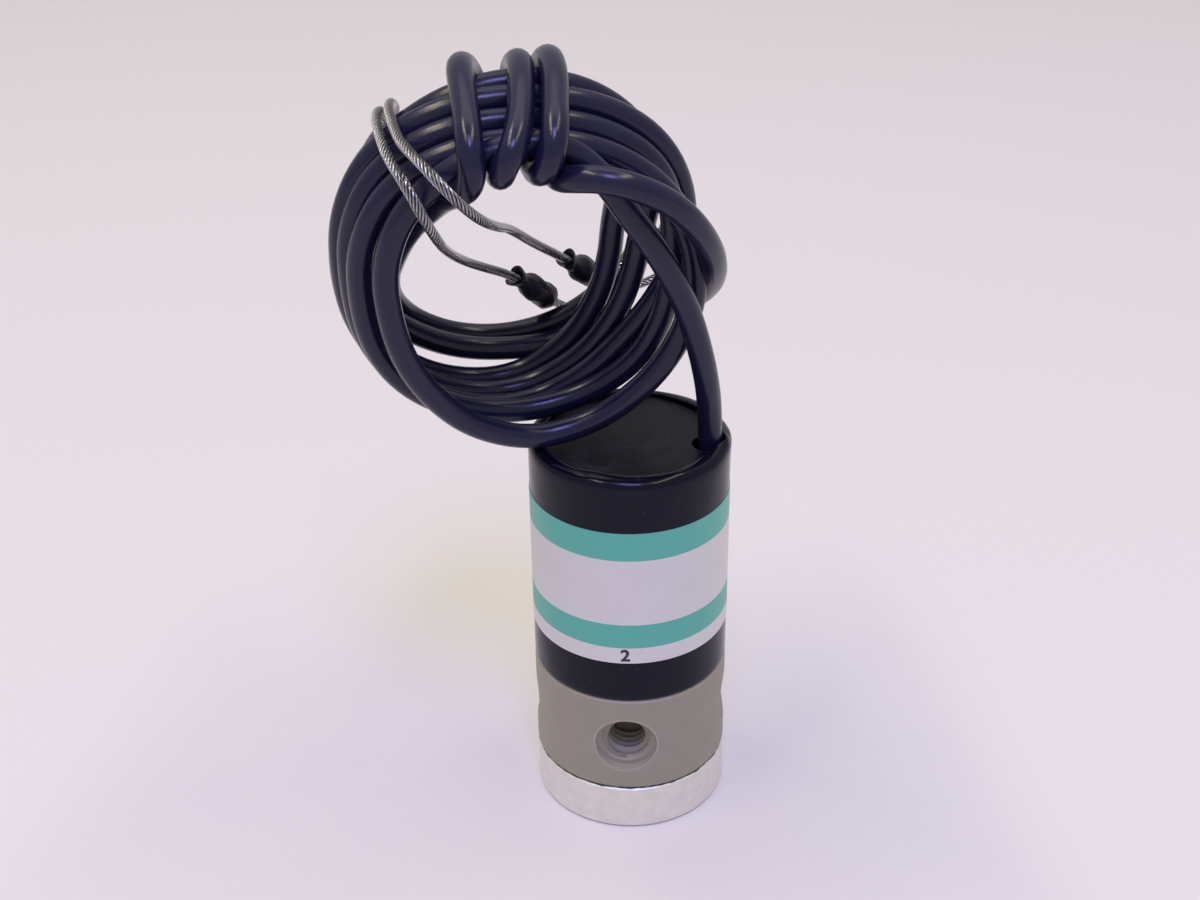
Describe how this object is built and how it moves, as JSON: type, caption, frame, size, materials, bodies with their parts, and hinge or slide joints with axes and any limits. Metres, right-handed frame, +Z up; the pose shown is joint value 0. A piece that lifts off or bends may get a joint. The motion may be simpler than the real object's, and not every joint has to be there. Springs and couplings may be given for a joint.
{
  "type": "three-way solenoid valve",
  "caption": "Small cylindrical three-way solenoid valve with threaded ports in its polymer body, a sleeved coil above and its lead wound in a tied coil.",
  "frame": {"origin": "centre of the base's underside", "axes": "+Z up the valve's axis, -Y out of the common port, +X out of the normally open port"},
  "size_m": [0.0503, 0.0516, 0.1072],
  "materials": {
    "base_aluminium": "bead-blasted, clear",
    "screw_steel": "zinc-plated",
    "body_polymer": "turned grey polymer",
    "seal_rubber": "moulded",
    "stem_plastic": "machined",
    "spring_steel": "drawn wire",
    "pole_steel": "turned",
    "tube_steel": "drawn",
    "bobbin_plastic": "moulded",
    "winding_copper": "enamelled wire",
    "winding_tape": "tape",
    "cap_black": "face-turned",
    "potting_resin": "cast",
    "sleeve_black": "shrunk film",
    "label_paper": "printed film",
    "lead_jacket": "extruded",
    "core_sheath": "clear over stranded wire",
    "boot_black": "shrunk",
    "tip_tin": "tinned"
  },
  "bodies": {
    "valve": {"base_plate": "base_aluminium", "body_screws": "screw_steel", "valve_body": "body_polymer", "lower_diaphragm": "seal_rubber", "upper_diaphragm": "seal_rubber", "balance_spring": "spring_steel", "pole_plate": "pole_steel", "guide_tube": "tube_steel", "plunger_spring": "spring_steel", "fixed_core": "pole_steel", "core_nut": "screw_steel", "top_plate": "pole_steel", "bobbin": "bobbin_plastic", "winding": "winding_copper", "winding_tape": "winding_tape", "coil_case": "pole_steel", "end_cap": "cap_black", "cap_potting": "potting_resin", "shrink_sleeve": "sleeve_black", "label": "label_paper", "lead_riser": "lead_jacket", "lead_coil": "lead_jacket", "lead_loop": "lead_jacket", "lead_tail": "lead_jacket", "core_lead_a": "core_sheath", "core_lead_b": "core_sheath", "boot_a": "boot_black", "boot_b": "boot_black", "lead_tip_a": "tip_tin", "lead_tip_b": "tip_tin"},
    "armature": {"plunger": "pole_steel", "valve_stem": "stem_plastic", "spring_pad": "stem_plastic"}
  },
  "joints": [
    {"name": "plunger_slide", "type": "slide", "parent": "valve", "child": "armature", "axis": [0, 0, 1], "range_m": [0, 0.0007], "stiffness_N_per_m": 600, "springref_m": -0.003, "deforming": ["plunger_spring", "balance_spring", "upper_diaphragm", "lower_diaphragm"]}
  ]
}
